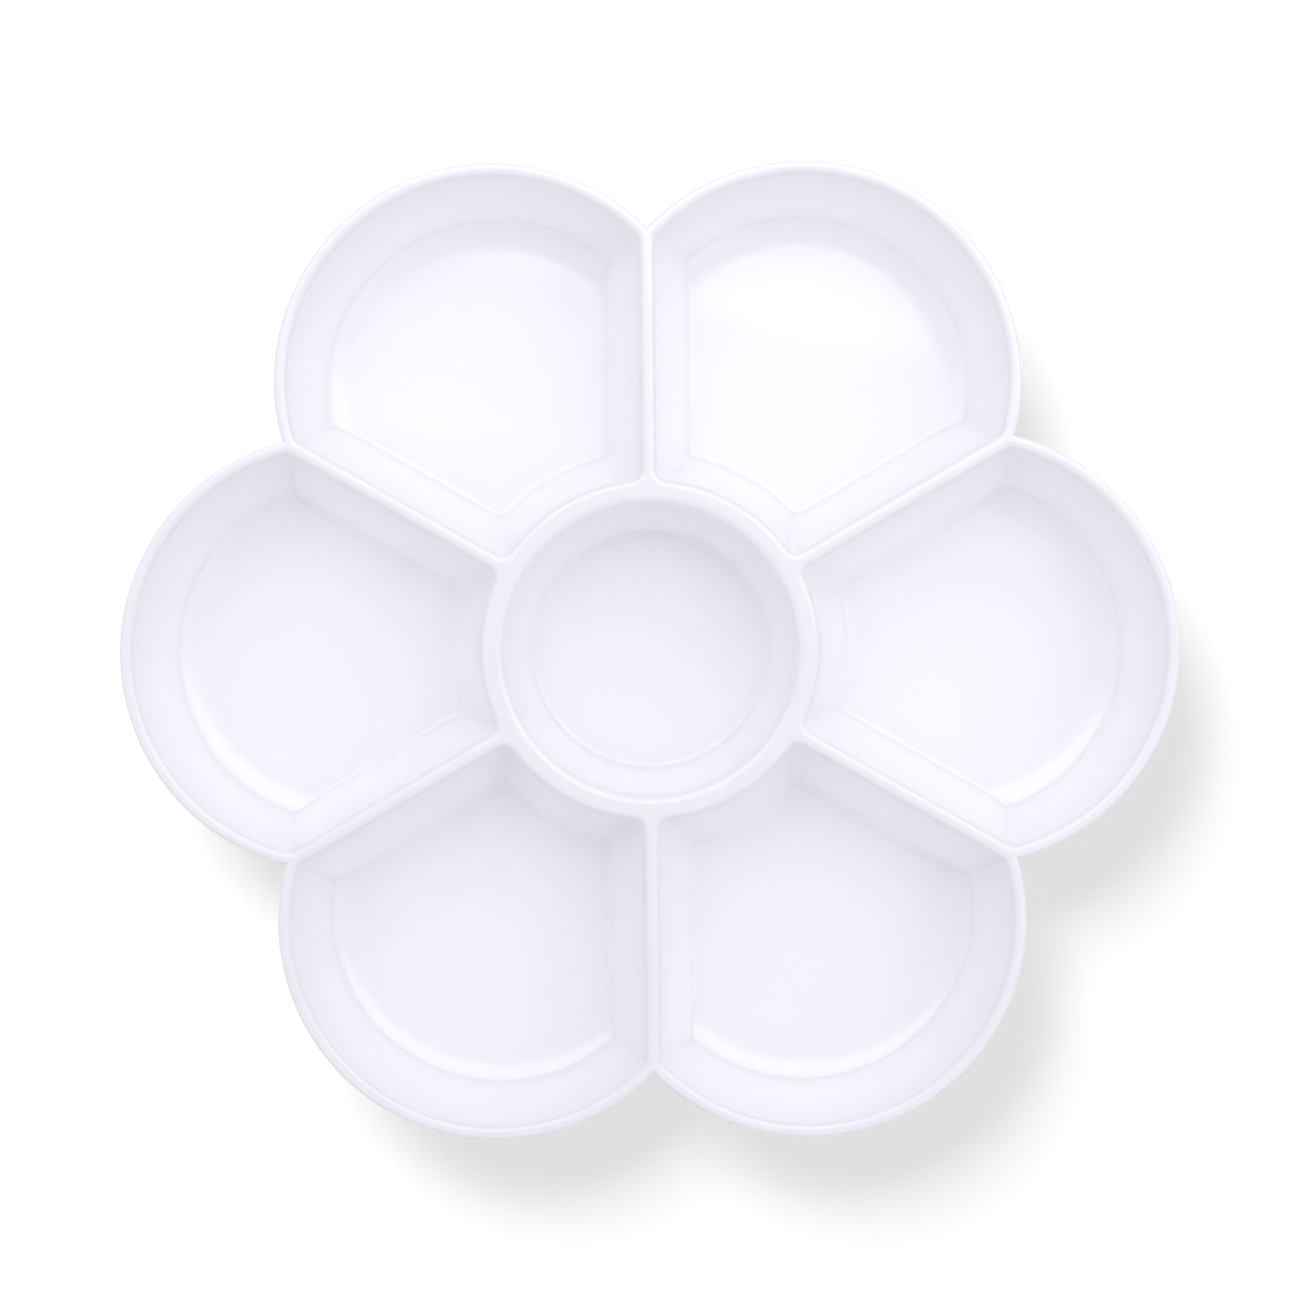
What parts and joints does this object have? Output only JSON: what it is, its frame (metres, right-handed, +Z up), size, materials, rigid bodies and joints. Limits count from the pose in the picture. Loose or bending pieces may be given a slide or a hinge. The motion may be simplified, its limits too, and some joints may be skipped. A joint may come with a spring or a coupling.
{
  "type": "mixing palette",
  "caption": "Shallow flower-shaped paint mixing palette: open petal wells with sloping walls around a round middle well, on low foot rings.",
  "frame": {"origin": "on the table plane, under the middle of the palette", "axes": "+Z up, out of the wells; +X from the middle well to the middle of one petal"},
  "size_m": [0.17, 0.1566, 0.023],
  "materials": {
    "tray_plastic": "glossy moulded white with a faint cool tint"
  },
  "bodies": {
    "root": {"palette_tray": "tray_plastic"}
  },
  "joints": []
}
